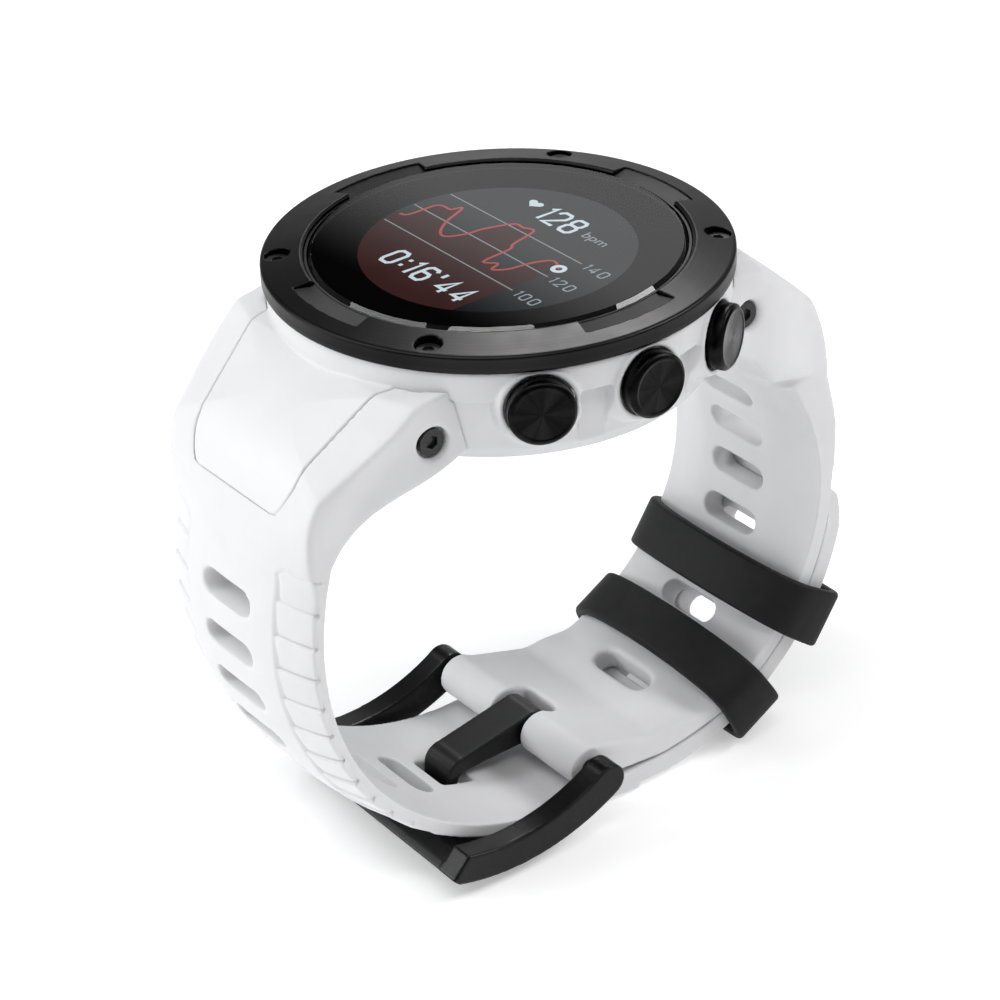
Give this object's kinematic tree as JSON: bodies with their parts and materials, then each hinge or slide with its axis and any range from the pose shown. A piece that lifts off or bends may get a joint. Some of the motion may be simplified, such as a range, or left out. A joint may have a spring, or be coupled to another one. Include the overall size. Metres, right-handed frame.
{
  "type": "gps running watch",
  "caption": "Round sports watch with a metal bezel, side pushers and a silicone strap closed in a loop by a pin buckle and keepers.",
  "frame": {"origin": "centre of the flat sensor window on the back of the case", "axes": "+Z along the display normal, +Y towards 12 o'clock, +X towards the side with three pushers"},
  "size_m": [0.0473, 0.0705, 0.0622],
  "materials": {
    "white_case": "satin white glass-fibre plastic",
    "black_steel": "black coated, circular brushed steel",
    "black_screws": "black coated steel",
    "watch_glass": "hard clear glass with a dark border",
    "display": "dark display, lit readout",
    "diffuser": "white diffuser",
    "black_plastic": "black",
    "brass_flex": "plated strip",
    "seal_rubber": "black seal rubber",
    "stainless": "plain",
    "switch_metal": "plain",
    "circuit_board": "green solder mask",
    "shield_metal": "tinned",
    "battery_foil": "foil pouch",
    "back_plastic": "dark grey fine matt plastic",
    "sensor_glass": "smoked",
    "sensor_lights": "green lights",
    "contacts": "gold plated",
    "brass": "turned",
    "rotor_metal": "sintered",
    "white_silicone": "fine matt silicone",
    "black_rubber": "matt silicone",
    "black_buttons": "black coated, turned faces",
    "black_buckle": "satin black coated steel"
  },
  "bodies": {
    "watch": {"antenna_ring": "brass_flex", "back_cover": "back_plastic", "back_cover_screws": "stainless", "back_gasket": "seal_rubber", "backlight_plate": "diffuser", "battery": "battery_foil", "bezel_ring": "black_steel", "bezel_screws": "black_screws", "board_screws": "stainless", "buckle_bar": "stainless", "button_seals": "seal_rubber", "button_sleeves": "stainless", "case_body": "white_case", "charging_contacts": "contacts", "display_carrier": "black_plastic", "display_glass": "watch_glass", "display_panel": "display", "glass_clamp_ring": "black_steel", "glass_gasket": "seal_rubber", "lug_inserts": "brass", "lug_screws": "black_screws", "main_circuit_board": "circuit_board", "processor_shield": "shield_metal", "sensor_board": "circuit_board", "sensor_lights": "sensor_lights", "sensor_window": "sensor_glass", "strap_buckle_half": "white_silicone", "strap_tail_half": "white_silicone", "tactile_switches": "switch_metal", "vibration_motor_base": "shield_metal", "vibration_motor_cover": "shield_metal"},
    "button_upper_right": {"button_upper_right": "black_buttons", "button_clip_upper_right": "stainless"},
    "button_middle_right": {"button_middle_right": "black_buttons", "button_clip_middle_right": "stainless"},
    "button_lower_right": {"button_lower_right": "black_buttons", "button_clip_lower_right": "stainless"},
    "button_upper_left": {"button_upper_left": "black_buttons", "button_clip_upper_left": "stainless"},
    "button_lower_left": {"button_lower_left": "black_buttons", "button_clip_lower_left": "stainless"},
    "buckle_frame": {"buckle_frame": "black_buckle"},
    "buckle_tongue": {"buckle_tongue": "black_buckle"},
    "keeper_upper": {"keeper_upper": "black_rubber"},
    "keeper_lower": {"keeper_lower": "black_rubber"},
    "vibration_rotor": {"vibration_rotor": "rotor_metal"}
  },
  "joints": [
    {"name": "button_upper_right_press", "type": "slide", "parent": "watch", "child": "button_upper_right", "axis": [-0.8829, -0.4695, 0], "range_m": [0, 0.0005], "stiffness_N_per_m": 1500, "springref_m": -0.0006},
    {"name": "button_middle_right_press", "type": "slide", "parent": "watch", "child": "button_middle_right", "axis": [-1, 0, 0], "range_m": [0, 0.0005], "stiffness_N_per_m": 1500, "springref_m": -0.0006},
    {"name": "button_lower_right_press", "type": "slide", "parent": "watch", "child": "button_lower_right", "axis": [-0.8829, 0.4695, 0], "range_m": [0, 0.0005], "stiffness_N_per_m": 1500, "springref_m": -0.0006},
    {"name": "button_upper_left_press", "type": "slide", "parent": "watch", "child": "button_upper_left", "axis": [0.8829, -0.4695, 0], "range_m": [0, 0.0005], "stiffness_N_per_m": 1500, "springref_m": -0.0006},
    {"name": "button_lower_left_press", "type": "slide", "parent": "watch", "child": "button_lower_left", "axis": [0.8829, 0.4695, 0], "range_m": [0, 0.0005], "stiffness_N_per_m": 1500, "springref_m": -0.0006},
    {"name": "buckle_frame_hinge", "type": "hinge", "parent": "watch", "child": "buckle_frame", "pos_m": [0, 0.0004, -0.0416], "axis": [1, 0, 0], "range_deg": [0, 75]},
    {"name": "buckle_tongue_hinge", "type": "hinge", "parent": "watch", "child": "buckle_tongue", "pos_m": [0, 0.0004, -0.0416], "axis": [-1, 0, 0], "range_deg": [0, 95]},
    {"name": "keeper_upper_slide", "type": "hinge", "parent": "watch", "child": "keeper_upper", "pos_m": [0, 0.0092, -0.0204], "axis": [1, 0, 0], "range_deg": [-4, 12]},
    {"name": "keeper_lower_slide", "type": "hinge", "parent": "watch", "child": "keeper_lower", "pos_m": [0, 0.0092, -0.0204], "axis": [1, 0, 0], "range_deg": [-14, 4]},
    {"name": "vibration_rotor_spin", "type": "hinge", "parent": "watch", "child": "vibration_rotor", "pos_m": [-0.0116, -0.0064, 0.005], "axis": [0, 0, 1], "continuous": true}
  ]
}
